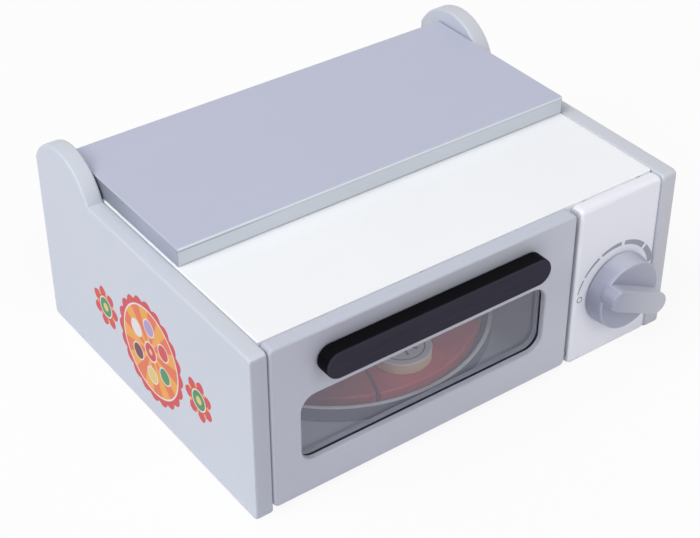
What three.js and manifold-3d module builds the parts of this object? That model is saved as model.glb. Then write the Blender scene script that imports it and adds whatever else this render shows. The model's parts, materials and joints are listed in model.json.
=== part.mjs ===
// Toy oven with a windowed drop-down door, a turning knob, a hinged top lid and a play pizza on a tray.
// Millimetres. X runs right along the front, Y runs to the back, Z is up, and the floor is z = 0.
import * as THREE from 'three';
import { mergeVertices } from 'three/addons/utils/BufferGeometryUtils.js';
import Module from 'manifold-3d';

const wasm = await Module();
wasm.setup();

// Driving dimensions of the cabinet
const bodyWidth = 255;
const bodyDepth = 197;
const bodyHeight = 115;
const sideThickness = 9.5;
const boardThickness = 8;
const frontThickness = 8.2;
const backThickness = 3.5;
const backInset = 6.5;
const fit = 0.3;
const overrun = 4;
const weld = 0.001;
const chordError = 0.08;

// Ears that carry the lid
const earRise = 19;
const earRadius = 29;
const earRearCut = 3;

// Edge roundings of the painted boards
const sideCorner = 3;
const sideEdge = 1.2;
const boardCorner = 1;
const boardEdge = 0.6;
const edgeSteps = 2;

// Lid
const lidThickness = 10.2;
const lidDepth = 106.4;
const lidEndGap = 0.8;
const lidBackSetback = 15.2;
const lidEdge = 1;
const lidBackEdge = 3.5;
const lidPinDiameter = 4;
const lidPinInEar = 6;
const lidPinInLid = 12;

// Door
const doorLeftGap = 0.5;
const doorFloorGap = 2.9;
const doorCorner = 3;
const doorEdge = 1.2;
const doorPinDiameter = 4;
const doorPinInFrame = 6.5;
const doorPinInDoor = 9;

// Control panel
const controlWidth = 54.5;
const controlGap = 2.4;
const controlFloorGap = 1;
const controlCorner = 2.8;
const controlEdge = 2.3;

// Window in the door
const windowLeftFrame = 16.3;
const windowRightFrame = 16.8;
const windowSill = 18.8;
const windowHead = 35.4;
const windowCorner = 8;
const paneLap = 6;
const paneSetback = 3.4;
const paneThickness = 1.5;
const paneCorner = 4;
const retainerThickness = 2.4;
const retainerEdge = 0.5;

// Handle
const handleLeftEnd = 24.3;
const handleRightEnd = 23.6;
const handleHeight = 14.8;
const handleDepth = 9.6;
const handleDrop = 9;
const handleEdge = 1.4;

// Knob
const knobFromEdge = 28.3;
const knobHeight = 40;
const skirtRadius = 20.4;
const skirtTaper = 1.1;
const skirtDepth = 10;
const skirtEdge = 0.9;
const gripLength = 42;
const gripWidth = 12.2;
const gripDepth = 18.6;
const gripEdge = 1.1;
const gripRoot = 2;
const gripTurn = THREE.MathUtils.degToRad(26.5);
const knobGap = 0.5;
const knobScrewCover = 5.6;

// Dowels that hold the boards
const dowelDiameter = 5;
const dowelEdge = 0.6;
const sideDowelLength = 22;
const sideDowelDepth = 6.5;
const frontDowelLength = 16;
const frontDowelDepth = 5;
const dowelSetback = 32;
const frontDowelInset = 9;

// Screws and magnets
const backScrew = { shank: 2.6, length: 15, head: 6, headHeight: 1.6 };
const backScrewInset = 22;
const paneScrew = { shank: 1.8, length: 5, head: 3.6, headHeight: 0.9 };
const paneScrewInset = 3.1;
const paneScrewSink = 1.2;
const handleScrewInset = 26;
const handleScrewSink = 3;
const handleScrewCover = 1.6;
const washerRadius = 5.5;
const washerThickness = 1;
const magnetDiameter = 6;
const magnetDepth = 4;
const strikerDepth = 2.5;

// Play pizza
const trayHeight = 8.7;
const trayFloor = 3;
const trayRim = 2.6;
const trayRimRound = 0.9;
const trayLeftGap = 18;
const trayFrontGap = 4.2;
const trayBackGap = 6;
const sliceCount = 4;
const sliceGap = 1.4;
const sliceThickness = 7.2;
const sliceRimGap = 3.4;
const sliceCorner = 1.5;
const sliceEdge = 0.8;
const sliceTurn = THREE.MathUtils.degToRad(-108.8);
const toppingRadius = 15.5;
const toppingThickness = 6.6;
const toppingEdge = 0.7;
const toppingRimGap = 5;
const toppingTurn = THREE.MathUtils.degToRad(20.3);

// Facets
const pinSides = 12;
const roundSides = 44;
const washerSides = 20;

// Places worked out from the sizes above
const sideHeight = bodyHeight - earRise;
const frontFace = -bodyDepth / 2;
const rearFace = bodyDepth / 2;
const sideInner = bodyWidth / 2 - sideThickness;
const frontBack = frontFace + frontThickness;
const boardFront = frontBack + fit;
const backRear = rearFace - backInset;
const boardRear = backRear - backThickness - fit;
const boardWidth = 2 * (sideInner - fit);
const controlRight = sideInner - fit;
const controlLeft = controlRight - controlWidth;
const doorLeft = -sideInner + doorLeftGap;
const doorRight = controlLeft - controlGap;
const doorWidth = doorRight - doorLeft;
const hingeY = frontFace + frontThickness / 2;
const hingeZ = doorFloorGap + frontThickness / 2;
const knobX = controlLeft + knobFromEdge;
const lidBottom = sideHeight + fit;
const lidBack = rearFace - lidBackSetback;
const lidPinY = lidBack - lidThickness / 2;
const lidPinZ = lidBottom + lidThickness / 2;
const lidEnd = sideInner - lidEndGap;
const windowLeft = doorLeft + windowLeftFrame;
const windowWidth = doorRight - windowRightFrame - windowLeft;
const windowBottom = doorFloorGap + windowSill;
const windowHeight = sideHeight - windowHead - windowBottom;
const handleLength = doorWidth - handleLeftEnd - handleRightEnd;
const handleMiddleX = doorLeft + handleLeftEnd + handleLength / 2;
const handleMiddleZ = sideHeight - handleDrop - handleHeight / 2;
const catchZ = sideHeight - boardThickness / 2;
const screwSeat = frontThickness + washerThickness + 2 * fit;
const handleScrewBite = frontThickness - handleScrewSink + fit + handleDepth - handleScrewCover;
const handleScrew = { shank: 3.4, length: handleScrewBite, head: 7, headHeight: 2.4 };
const knobScrew = { shank: 4, length: screwSeat + gripDepth - knobScrewCover - 2 * fit, head: 8, headHeight: 2.6 };
const trayRadius = (boardRear - boardFront - trayFrontGap - trayBackGap) / 2;

// Axes that turn a drawing into place: a front view is extruded along -Y, a side view along +X
const frontView = new THREE.Euler(Math.PI / 2, 0, 0);
const sideView = new THREE.Euler(Math.PI / 2, Math.PI / 2, 0);
const alongX = new THREE.Euler(0, 0, Math.PI / 2);
const alongY = new THREE.Euler(0, 0, 0);

// Paints and materials
const paint = (color, roughness, metalness = 0) => () =>
  new THREE.MeshStandardMaterial({ color, roughness, metalness });
const paleGrey = paint(0xcdd2de, 0.5);
const white = paint(0xf1f2f6, 0.5);
const lilac = paint(0xbbbfd3, 0.5);
const greyLilac = paint(0x9a9cb4, 0.45);
const black = paint(0x26242e, 0.4);
const bareWood = paint(0xd8b98c, 0.7);
const board = paint(0xb99a6e, 0.8);
const clear = paint(0xb9bcc8, 0.1);
const steel = paint(0xb6b8bc, 0.3, 1);
const tomato = paint(0xb8343a, 0.55);
const trayGrey = paint(0x9fa3b2, 0.4);

// Geometry to solid and back, for cuts and joins
function solidOf(geometry) {
  const bare = geometry.clone();
  bare.deleteAttribute('normal');
  bare.deleteAttribute('uv');
  const merged = mergeVertices(bare);
  const vertProperties = Float32Array.from(merged.attributes.position.array);
  const triVerts = Uint32Array.from(merged.index.array);
  return new wasm.Manifold(new wasm.Mesh({ numProp: 3, vertProperties, triVerts }));
}

function geometryOf(solid) {
  const mesh = solid.getMesh();
  const geometry = new THREE.BufferGeometry();
  geometry.setAttribute('position', new THREE.BufferAttribute(mesh.vertProperties, 3));
  geometry.setIndex(new THREE.BufferAttribute(mesh.triVerts, 1));
  geometry.computeVertexNormals();
  return geometry;
}

// A closed outline from corners [u, v, radius], each rounded by its own arc
function outline(corners, Path = THREE.Shape) {
  const path = new Path();
  const count = corners.length;
  corners.forEach(([u, v, radius], index) => {
    const here = new THREE.Vector2(u, v);
    const before = corners[(index + count - 1) % count];
    const after = corners[(index + 1) % count];
    const back = new THREE.Vector2(before[0], before[1]).sub(here).normalize();
    const ahead = new THREE.Vector2(after[0], after[1]).sub(here).normalize();
    const half = Math.acos(THREE.MathUtils.clamp(back.dot(ahead), -1, 1)) / 2;
    const run = radius / Math.tan(half);
    const centre = here.clone().add(back.clone().add(ahead).normalize().multiplyScalar(radius / Math.sin(half)));
    const start = here.clone().addScaledVector(back, run).sub(centre).angle();
    const end = here.clone().addScaledVector(ahead, run).sub(centre).angle();
    const clockwise = back.cross(ahead) > 0;
    path.absarc(centre.x, centre.y, radius, start, end, clockwise);
  });
  path.closePath();
  return path;
}

function rectangle(left, bottom, width, height, radius, Path) {
  const right = left + width;
  const top = bottom + height;
  const corners = [[left, bottom], [right, bottom], [right, top], [left, top]];
  return outline(corners.map((corner) => [...corner, radius]), Path);
}

// The same outline as straight runs: an arc gets as many as keep it within the chord error
function facetsOf(path) {
  const points = path.curves.flatMap((curve) => {
    if (!curve.xRadius) return [curve.getPoint(0)];
    const turn = curve.getLength() / curve.xRadius;
    const most = 2 * Math.acos(1 - Math.min(chordError / curve.xRadius, 1));
    const count = Math.ceil(turn / Math.min(most, Math.PI / 4));
    return Array.from({ length: count }, (_, index) => curve.getPoint(index / count));
  });
  return points.filter((point, index) => point.distanceTo(points[(index + 1) % points.length]) > weld);
}

function faceted(shape) {
  const plain = new THREE.Shape(facetsOf(shape));
  plain.holes = shape.holes.map((hole) => new THREE.Path(facetsOf(hole)));
  return plain;
}

// A board: an outline given its thickness, with the edges of both faces rounded
function boardOf(shape, thickness, edge) {
  const geometry = new THREE.ExtrudeGeometry(faceted(shape), {
    depth: thickness - 2 * edge,
    bevelEnabled: edge > 0,
    bevelThickness: edge,
    bevelSize: edge,
    bevelOffset: -edge,
    bevelSegments: edgeSteps,
  });
  return geometry.translate(0, 0, edge);
}

function prism(shape, depth) {
  return new THREE.ExtrudeGeometry(faceted(shape), { depth, bevelEnabled: false });
}

function piece(name, geometry, material, position = [0, 0, 0], rotation = alongY) {
  const mesh = new THREE.Mesh(geometry, material());
  mesh.name = name;
  mesh.position.set(...position);
  mesh.rotation.copy(rotation);
  return mesh;
}

// Cutting tools are placed in the oven's frame, and are carried into the piece's own frame to cut it
function cut(mesh, tools) {
  mesh.updateWorldMatrix(true, false);
  const inward = mesh.matrixWorld.clone().invert();
  const solid = tools.reduce(
    (rest, tool) => rest.subtract(solidOf(tool.clone().applyMatrix4(inward))),
    solidOf(mesh.geometry),
  );
  mesh.geometry = geometryOf(solid);
  return mesh;
}

function rod(diameter, length, sides = pinSides) {
  return new THREE.CylinderGeometry(diameter / 2, diameter / 2, length, sides);
}

// Bores along X and Y, wider than their pin by the fit all round
function boreX(diameter, from, to, y, z) {
  const bore = rod(diameter + 2 * fit, Math.abs(to - from));
  return bore.rotateZ(Math.PI / 2).translate((from + to) / 2, y, z);
}

function boreY(diameter, from, to, x, z, sides = pinSides) {
  const bore = rod(diameter + 2 * fit, Math.abs(to - from), sides);
  return bore.translate(x, (from + to) / 2, z);
}

// A turned piece from its half profile of [radius, height] points
function turned(profile, sides = pinSides) {
  return new THREE.LatheGeometry(profile.map(([radius, height]) => new THREE.Vector2(radius, height)), sides);
}

function dowel(length) {
  const radius = dowelDiameter / 2;
  const half = length / 2;
  return turned([
    [0, -half], [radius - dowelEdge, -half], [radius, -half + dowelEdge],
    [radius, half - dowelEdge], [radius - dowelEdge, half], [0, half],
  ]);
}

// A screw with its head's seat at the origin, its head towards +Y and its shank towards -Y
function screw({ shank, length, head, headHeight }) {
  const tip = shank / 2;
  return turned([
    [0, -length], [tip / 2, -length + tip], [tip, -length + shank],
    [tip, 0], [head / 2, 0], [head / 2, headHeight / 2], [head / 3, headHeight], [0, headHeight],
  ]);
}

const oven = new THREE.Group();
oven.name = 'toy_oven';
const cabinet = new THREE.Group();
const door = new THREE.Group();
const knobGroup = new THREE.Group();
const lid = new THREE.Group();
oven.add(cabinet, door, knobGroup, lid);
door.position.set(0, hingeY, hingeZ);
knobGroup.position.set(knobX, frontFace, knobHeight);
lid.position.set(0, lidPinY, lidPinZ);

// Side panels: a flat board whose back rises into a round ear
function sideOutline() {
  const centreY = rearFace - earRadius + earRearCut;
  const centreZ = bodyHeight - earRadius;
  const notchAngle = Math.asin((sideHeight - centreZ) / earRadius);
  const rearAngle = Math.acos(1 - earRearCut / earRadius);
  const shape = new THREE.Shape();
  const lowFront = frontFace + sideCorner;
  const lowRear = rearFace - sideCorner;
  const highFront = sideHeight - sideCorner;
  shape.absarc(lowFront, sideCorner, sideCorner, Math.PI, 1.5 * Math.PI, false);
  shape.absarc(lowRear, sideCorner, sideCorner, 1.5 * Math.PI, 2 * Math.PI, false);
  shape.absarc(centreY, centreZ, earRadius, rearAngle, Math.PI / 2, false);
  shape.absarc(centreY, centreZ, earRadius, Math.PI / 2, Math.PI - notchAngle, false);
  shape.absarc(lowFront, highFront, sideCorner, Math.PI / 2, Math.PI, false);
  shape.closePath();
  return shape;
}

const sideGeometry = () => boardOf(sideOutline(), sideThickness, sideEdge);
const leftSide = piece('left_side_panel', sideGeometry(), paleGrey, [-bodyWidth / 2, 0, 0], sideView);
const rightSide = piece('right_side_panel', sideGeometry(), paleGrey, [sideInner, 0, 0], sideView);

// Top and base boards between the sides, the base standing on the floor with them
function flatBoard(name, material, bottom) {
  const depth = boardRear - boardFront;
  const shape = rectangle(-boardWidth / 2, boardFront, boardWidth, depth, boardCorner);
  return piece(name, boardOf(shape, boardThickness, boardEdge), material, [0, 0, bottom]);
}
const topPanel = flatBoard('top_panel', white, sideHeight - boardThickness);
const basePanel = flatBoard('base_panel', paleGrey, 0);

// Thin back board set in between the sides, screwed to the back edges of the top and base boards
const backShape = rectangle(-boardWidth / 2, controlFloorGap, boardWidth, sideHeight - 2 * controlFloorGap, boardCorner);
const backPanel = piece('back_panel', prism(backShape, backThickness), board, [0, backRear, 0], frontView);

// Control panel beside the door, with rounded edges
const controlShape = rectangle(
  controlLeft, controlFloorGap, controlRight - controlLeft, sideHeight - controlFloorGap, controlCorner);
const controlPanel = piece(
  'control_panel', boardOf(controlShape, frontThickness, controlEdge), white, [0, frontBack, 0], frontView);
cabinet.add(leftSide, rightSide, topPanel, basePanel, backPanel, controlPanel);

// Dowels from the sides into the top and base boards
const boardHeights = [boardThickness / 2, sideHeight - boardThickness / 2];
const sideBores = { [-1]: [], [1]: [] };
const boardBores = new Map(boardHeights.map((z) => [z, []]));
let dowelNumber = 0;
for (const side of [-1, 1]) {
  for (const z of boardHeights) {
    for (const y of [boardFront + dowelSetback, boardRear - dowelSetback]) {
      dowelNumber += 1;
      const outer = side * (sideInner + sideDowelDepth);
      const middle = outer - side * sideDowelLength / 2;
      const inner = outer - side * sideDowelLength;
      cabinet.add(piece(`frame_dowel_${dowelNumber}`, dowel(sideDowelLength), bareWood, [middle, y, z], alongX));
      sideBores[side].push(boreX(dowelDiameter, outer + side * fit, sideInner * side - side * overrun, y, z));
      boardBores.get(z).push(boreX(dowelDiameter, side * (sideInner + overrun), inner - side * fit, y, z));
    }
  }
}

// Dowels from the control panel into the front edges of the same boards
const controlBores = [];
let frontDowelNumber = 0;
for (const z of boardHeights) {
  for (const x of [controlLeft + frontDowelInset, controlRight - frontDowelInset]) {
    frontDowelNumber += 1;
    const front = frontBack - frontDowelDepth;
    const back = front + frontDowelLength;
    const place = [x, front + frontDowelLength / 2, z];
    cabinet.add(piece(`control_dowel_${frontDowelNumber}`, dowel(frontDowelLength), bareWood, place, alongY));
    controlBores.push(boreY(dowelDiameter, front - fit, frontBack + overrun, x, z));
    boardBores.get(z).push(boreY(dowelDiameter, boardFront - overrun, back + fit, x, z));
  }
}

// Screws through the back board into the same boards
const backBores = [];
let backScrewNumber = 0;
for (const z of boardHeights) {
  for (const side of [-1, 1]) {
    backScrewNumber += 1;
    const x = side * (boardWidth / 2 - backScrewInset);
    cabinet.add(piece(`back_screw_${backScrewNumber}`, screw(backScrew), steel, [x, backRear + fit, z]));
    const bore = boreY(backScrew.shank, backRear - backScrew.length, backRear + overrun, x, z);
    backBores.push(bore);
    boardBores.get(z).push(bore);
  }
}

// Magnet in the front edge of the top board, facing a steel striker in the back of the door
const catchBore = boreY(magnetDiameter, boardFront - overrun, boardFront + magnetDepth + fit, handleMiddleX, catchZ);
const catchPlace = [handleMiddleX, boardFront + magnetDepth / 2, catchZ];
cabinet.add(piece('catch_magnet', rod(magnetDiameter, magnetDepth), steel, catchPlace));

// Lid: square at the front, its lower back edge round about the pins, its upper back edge less round,
// so that it stops on the top board a little past upright
function lidOutline() {
  const half = lidThickness / 2;
  const front = half - lidDepth;
  const shape = new THREE.Shape();
  shape.absarc(front + lidEdge, lidEdge - half, lidEdge, Math.PI, 1.5 * Math.PI, false);
  shape.absarc(0, 0, half, 1.5 * Math.PI, 2 * Math.PI, false);
  shape.absarc(half - lidBackEdge, half - lidBackEdge, lidBackEdge, 0, Math.PI / 2, false);
  shape.absarc(front + lidEdge, half - lidEdge, lidEdge, Math.PI / 2, Math.PI, false);
  shape.closePath();
  return shape;
}
const lidGeometry = boardOf(lidOutline(), 2 * lidEnd, boardEdge);
const lidBoard = piece('lid_board', lidGeometry, lilac, [-lidEnd, 0, 0], sideView);
lid.add(lidBoard);

const lidBores = [];
for (const [side, word] of [[-1, 'left'], [1, 'right']]) {
  const outer = side * (sideInner + lidPinInEar);
  const inner = side * (lidEnd - lidPinInLid);
  const place = [(outer + inner) / 2, lidPinY, lidPinZ];
  cabinet.add(piece(`lid_pin_${word}`, rod(lidPinDiameter, Math.abs(outer - inner)), steel, place, alongX));
  sideBores[side].push(boreX(lidPinDiameter, outer + side * fit, side * (sideInner - overrun), lidPinY, lidPinZ));
  lidBores.push(boreX(lidPinDiameter, inner - side * fit, side * (sideInner + overrun), lidPinY, lidPinZ));
}
cut(lidBoard, lidBores);

// Door frame: a board with a window, a pocket for the pane behind it, and a bottom edge that is
// round about the hinge pins so that the door can swing past the base board
const doorHeight = sideHeight - doorFloorGap;
const doorShape = rectangle(doorLeft, -frontThickness / 2, doorWidth, doorHeight, doorCorner);
const windowHole = () => rectangle(
  windowLeft, windowBottom - hingeZ, windowWidth, windowHeight, windowCorner, THREE.Path);
doorShape.holes.push(windowHole());
const doorFrame = piece(
  'door_frame', boardOf(doorShape, frontThickness, doorEdge), paleGrey, [0, frontThickness / 2, 0], frontView);
door.add(doorFrame);

function heelOffcut() {
  const radius = frontThickness / 2;
  const shape = new THREE.Shape();
  shape.absarc(0, 0, radius, 1.5 * Math.PI, 2 * Math.PI, false);
  shape.lineTo(radius + overrun, 0);
  shape.lineTo(radius + overrun, -radius - overrun);
  shape.lineTo(0, -radius - overrun);
  shape.closePath();
  const offcut = prism(shape, doorWidth + 2 * overrun);
  const turn = new THREE.Matrix4().makeRotationFromEuler(sideView);
  return offcut.applyMatrix4(turn).translate(doorLeft - overrun, hingeY, hingeZ);
}

function boxBehind(left, bottom, width, height, radius, from, to) {
  const turn = new THREE.Matrix4().makeRotationFromEuler(frontView);
  return prism(rectangle(left, bottom, width, height, radius), to - from).applyMatrix4(turn).translate(0, to, 0);
}

const pocketLeft = windowLeft - paneLap;
const pocketBottom = windowBottom - paneLap;
const pocketWidth = windowWidth + 2 * paneLap;
const pocketHeight = windowHeight + 2 * paneLap;
const ledgeY = frontFace + paneSetback;
const doorTools = [
  heelOffcut(),
  boxBehind(pocketLeft, pocketBottom, pocketWidth, pocketHeight, paneCorner + fit, ledgeY, frontBack + overrun),
];

// Clear pane in its pocket, and behind it a ring that a screw holds near each corner
const paneBack = ledgeY + fit + paneThickness;
const retainerBack = paneBack + fit + retainerThickness;
const inPocket = () => rectangle(
  pocketLeft + fit, pocketBottom + fit - hingeZ, pocketWidth - 2 * fit, pocketHeight - 2 * fit, paneCorner);
const pane = piece(
  'door_window', prism(inPocket(), paneThickness), clear, [0, paneBack - hingeY, 0], frontView);
const retainerShape = inPocket();
retainerShape.holes.push(windowHole());
const retainer = piece(
  'pane_retainer', boardOf(retainerShape, retainerThickness, retainerEdge), paleGrey,
  [0, retainerBack - hingeY, 0], frontView);
door.add(pane, retainer);
const paneTools = [];
const retainerTools = [];
let paneScrewNumber = 0;
for (const z of [pocketBottom + paneScrewInset, pocketBottom + pocketHeight - paneScrewInset]) {
  for (const x of [pocketLeft + paneScrewInset, pocketLeft + pocketWidth - paneScrewInset]) {
    paneScrewNumber += 1;
    const seat = retainerBack - paneScrewSink + fit;
    const place = [x, seat - hingeY, z - hingeZ];
    door.add(piece(`pane_screw_${paneScrewNumber}`, screw(paneScrew), steel, place));
    const bore = boreY(paneScrew.shank, seat - paneScrew.length - fit, seat, x, z);
    paneTools.push(bore);
    retainerTools.push(bore, boreY(paneScrew.head, seat - fit, retainerBack + overrun, x, z));
    doorTools.push(bore);
  }
}
cut(pane, paneTools);
cut(retainer, retainerTools);

// Handle: a round-ended bar on the face of the door, held by two screws from behind
const handleShape = rectangle(
  -handleLength / 2, -handleHeight / 2, handleLength, handleHeight, handleHeight / 2);
const handlePlace = [handleMiddleX, frontFace - fit - hingeY, handleMiddleZ - hingeZ];
const handle = piece(
  'door_handle', boardOf(handleShape, handleDepth - fit, handleEdge), black, handlePlace, frontView);
door.add(handle);
const handleTools = [];
for (const [side, word] of [[-1, 'left'], [1, 'right']]) {
  const x = handleMiddleX + side * (handleLength / 2 - handleScrewInset);
  const seat = frontBack - handleScrewSink + fit;
  const place = [x, seat - hingeY, handleMiddleZ - hingeZ];
  door.add(piece(`handle_screw_${word}`, screw(handleScrew), steel, place));
  const bore = boreY(handleScrew.shank, seat - handleScrew.length - fit, seat, x, handleMiddleZ);
  handleTools.push(bore);
  doorTools.push(bore, boreY(handleScrew.head, seat - fit, frontBack + overrun, x, handleMiddleZ));
}
cut(handle, handleTools);

// Hinge pins: the left one turns in the side panel and the right one in the control panel
const doorPins = [
  { word: 'left', inDoor: doorLeft + doorPinInDoor, inFrame: -sideInner - doorPinInFrame, bores: sideBores[-1] },
  { word: 'right', inDoor: doorRight - doorPinInDoor, inFrame: controlLeft + doorPinInFrame, bores: controlBores },
];
for (const { word, inDoor, inFrame, bores } of doorPins) {
  const outward = Math.sign(inFrame - inDoor);
  const length = Math.abs(inFrame - inDoor);
  door.add(piece(`door_pin_${word}`, rod(doorPinDiameter, length), steel, [(inDoor + inFrame) / 2, 0, 0], alongX));
  const bore = boreX(doorPinDiameter, inDoor - outward * fit, inFrame + outward * fit, hingeY, hingeZ);
  doorTools.push(bore);
  bores.push(bore);
}

// Steel striker opposite the magnet
const strikerBore = boreY(
  magnetDiameter, frontBack - strikerDepth - fit, frontBack + overrun, handleMiddleX, catchZ);
const strikerPlace = [handleMiddleX, frontBack - strikerDepth / 2 - hingeY, catchZ - hingeZ];
door.add(piece('door_striker', rod(magnetDiameter, strikerDepth), steel, strikerPlace));
doorTools.push(strikerBore);
cut(doorFrame, doorTools);

// Knob: a tapered skirt with a round-ended grip bar across it, turning on a screw from behind
function knobGeometry() {
  const front = skirtRadius - skirtTaper;
  const skirt = turned([
    [0, -skirtDepth], [front - skirtEdge, -skirtDepth],
    [front - skirtEdge * (1 - Math.SQRT1_2), -skirtDepth + skirtEdge * (1 - Math.SQRT1_2)],
    [front, -skirtDepth + skirtEdge], [skirtRadius, -knobGap], [0, -knobGap],
  ], roundSides);
  const gripShape = rectangle(-gripLength / 2, -gripWidth / 2, gripLength, gripWidth, gripWidth / 2);
  const grip = boardOf(gripShape, gripDepth - skirtDepth + gripRoot, gripEdge);
  const turn = new THREE.Matrix4().makeRotationFromEuler(frontView);
  grip.applyMatrix4(turn).translate(0, gripRoot - skirtDepth, 0).rotateY(gripTurn);
  const bore = boreY(knobScrew.shank, knobScrewCover - gripDepth + fit, overrun, 0, 0);
  return geometryOf(solidOf(skirt).add(solidOf(grip)).subtract(solidOf(bore)));
}
knobGroup.add(
  piece('knob', knobGeometry(), greyLilac),
  piece('knob_screw', screw(knobScrew), steel, [0, screwSeat, 0]),
);
const washerBore = knobScrew.shank / 2 + fit;
const washerBack = frontThickness + fit + washerThickness;
knobGroup.add(piece('knob_washer', turned([
  [washerBore, washerBack - washerThickness], [washerRadius, washerBack - washerThickness],
  [washerRadius, washerBack], [washerBore, washerBack], [washerBore, washerBack - washerThickness],
], washerSides), steel));
controlBores.push(boreY(knobScrew.shank, frontFace - overrun, frontBack + overrun, knobX, knobHeight));

// The bores of the fixed boards
cut(leftSide, sideBores[-1]);
cut(rightSide, sideBores[1]);
cut(controlPanel, controlBores);
cut(backPanel, backBores);
const [baseHeight, topHeight] = boardHeights;
cut(basePanel, boardBores.get(baseHeight));
cut(topPanel, [...boardBores.get(topHeight), catchBore]);

// Tray with a raised rim on the base board
const trayX = -sideInner + trayLeftGap + trayRadius;
const trayY = boardFront + trayFrontGap + trayRadius;
const trayBottom = boardThickness + fit;
const trayInner = trayRadius - trayRim;
const tray = new THREE.Group();
tray.position.set(trayX, trayY, trayBottom);
cabinet.add(tray);
tray.add(piece('pizza_tray', turned([
  [0, 0], [trayRadius - trayRimRound, 0], [trayRadius, trayRimRound],
  [trayRadius, trayHeight - trayRimRound], [trayRadius - trayRimRound, trayHeight],
  [trayInner + trayRimRound, trayHeight], [trayInner, trayHeight - trayRimRound],
  [trayInner, trayFloor], [0, trayFloor],
], roundSides), trayGrey, [0, 0, 0], new THREE.Euler(Math.PI / 2, 0, 0)));

// Pizza slices and the round topping on each
function sliceGeometry() {
  const angle = 2 * Math.PI / sliceCount;
  const radius = trayInner - sliceRimGap;
  const tip = sliceGap / 2 / Math.sin(angle / 2);
  const inset = Math.asin((sliceGap / 2 + sliceCorner) / (radius - sliceCorner));
  const shape = new THREE.Shape();
  const cornerAt = (turn) => [
    (radius - sliceCorner) * Math.cos(turn), (radius - sliceCorner) * Math.sin(turn), sliceCorner];
  shape.absarc(...cornerAt(inset), -Math.PI / 2, inset, false);
  shape.absarc(0, 0, radius, inset, angle - inset, false);
  shape.absarc(...cornerAt(angle - inset), angle - inset, angle + Math.PI / 2, false);
  shape.lineTo(tip * Math.cos(angle / 2), tip * Math.sin(angle / 2));
  shape.closePath();
  return boardOf(shape, sliceThickness, sliceEdge);
}
const sliceBottom = trayFloor + fit;
const toppingBottom = sliceBottom + sliceThickness + fit;
const toppingOut = trayInner - sliceRimGap - toppingRimGap - toppingRadius;
const toppingShape = new THREE.Shape().absarc(0, 0, toppingRadius, 0, 2 * Math.PI, false);
for (let slice = 0; slice < sliceCount; slice += 1) {
  const wedge = new THREE.Group();
  wedge.rotation.z = sliceTurn + slice * 2 * Math.PI / sliceCount;
  tray.add(wedge);
  const place = [toppingOut * Math.cos(toppingTurn), toppingOut * Math.sin(toppingTurn), toppingBottom];
  const topping = boardOf(toppingShape, toppingThickness, toppingEdge);
  wedge.add(
    piece(`pizza_slice_${slice + 1}`, sliceGeometry(), tomato, [0, 0, sliceBottom]),
    piece(`pizza_topping_${slice + 1}`, topping, bareWood, place),
  );
}

export default oven;
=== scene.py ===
"""Toy oven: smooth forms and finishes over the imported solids, its dial and side picture, and a studio."""

import json
import math

import bmesh
import bpy
from bpy.props import FloatProperty, FloatVectorProperty, IntProperty, PointerProperty
from mathutils import Matrix, Vector


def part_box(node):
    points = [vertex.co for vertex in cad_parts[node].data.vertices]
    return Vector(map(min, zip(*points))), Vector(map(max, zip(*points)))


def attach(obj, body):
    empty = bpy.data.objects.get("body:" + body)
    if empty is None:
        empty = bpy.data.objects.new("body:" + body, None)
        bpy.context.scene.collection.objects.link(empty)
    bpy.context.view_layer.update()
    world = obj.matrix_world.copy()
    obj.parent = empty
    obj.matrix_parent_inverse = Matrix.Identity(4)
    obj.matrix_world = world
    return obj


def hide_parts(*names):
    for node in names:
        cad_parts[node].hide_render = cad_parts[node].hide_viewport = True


bl_info = {
    "name": "Toy oven",
    "version": (1, 0, 0),
    "blender": (4, 5, 0),
    "location": "View3D > Sidebar > Toy oven",
    "description": "Builds the looks of a painted wooden toy oven round its solids",
    "category": "Object",
}

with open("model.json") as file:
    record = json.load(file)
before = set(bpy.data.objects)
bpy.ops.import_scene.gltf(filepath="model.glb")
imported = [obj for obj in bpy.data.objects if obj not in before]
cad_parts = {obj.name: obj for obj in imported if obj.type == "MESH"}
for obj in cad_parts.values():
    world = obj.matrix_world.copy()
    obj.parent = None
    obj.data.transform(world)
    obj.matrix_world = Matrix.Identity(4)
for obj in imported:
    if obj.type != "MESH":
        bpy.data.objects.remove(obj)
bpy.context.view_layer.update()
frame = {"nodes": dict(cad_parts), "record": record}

MM = 0.001
BODY_OF = {node: body for body, nodes in frame["record"]["behaviour"]["bodies"].items() for node in nodes}
SLOT_OF = {part["node"]: part["material_slot"] for part in frame["record"]["subparts"]}
KNOB_LOW, KNOB_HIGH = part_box("knob")
PANEL_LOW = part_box("control_panel")[0]
SIDE_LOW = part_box("left_side_panel")[0]
MERGE = 1e-6
RIGHT = Vector((1, 0, 0))
FORWARD = Vector((0, -1, 0))
UP = Vector((0, 0, 1))

# How close streaks lie along X, Y and Z, in waves to the metre, for a grain that runs along one of them.
GRAIN_X = (25, 500, 500)
GRAIN_Y = (500, 25, 500)
GRAIN_Z = (500, 500, 25)
# The same for paint: its broad unevenness, and the fine peel of its skin.
BROAD = 14
PEEL = 1500
PRINT_EDGE = 0.25 * MM

SCREWS = ("back_screw", "pane_screw", "handle_screw", "knob_screw")
# A place that no piece reaches, for steel without a recess.
FAR_OFF = (10, 10)


def tint(red, green, blue):
    """A screen colour, 0 to 255, as the linear colour that a shader takes."""
    return tuple(((part / 255 + 0.055) / 1.055) ** 2.4 for part in (red, green, blue))


def colour(name, description, red, green, blue):
    """A colour property with its default given as a screen colour."""
    return FloatVectorProperty(
        name=name, description=description, default=tint(red, green, blue), subtype="COLOR", min=0, max=1)


def length(name, description, millimetres):
    """A length property with its default given in millimetres."""
    return FloatProperty(
        name=name, description=description, default=millimetres * MM, unit="LENGTH", precision=5)


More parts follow.
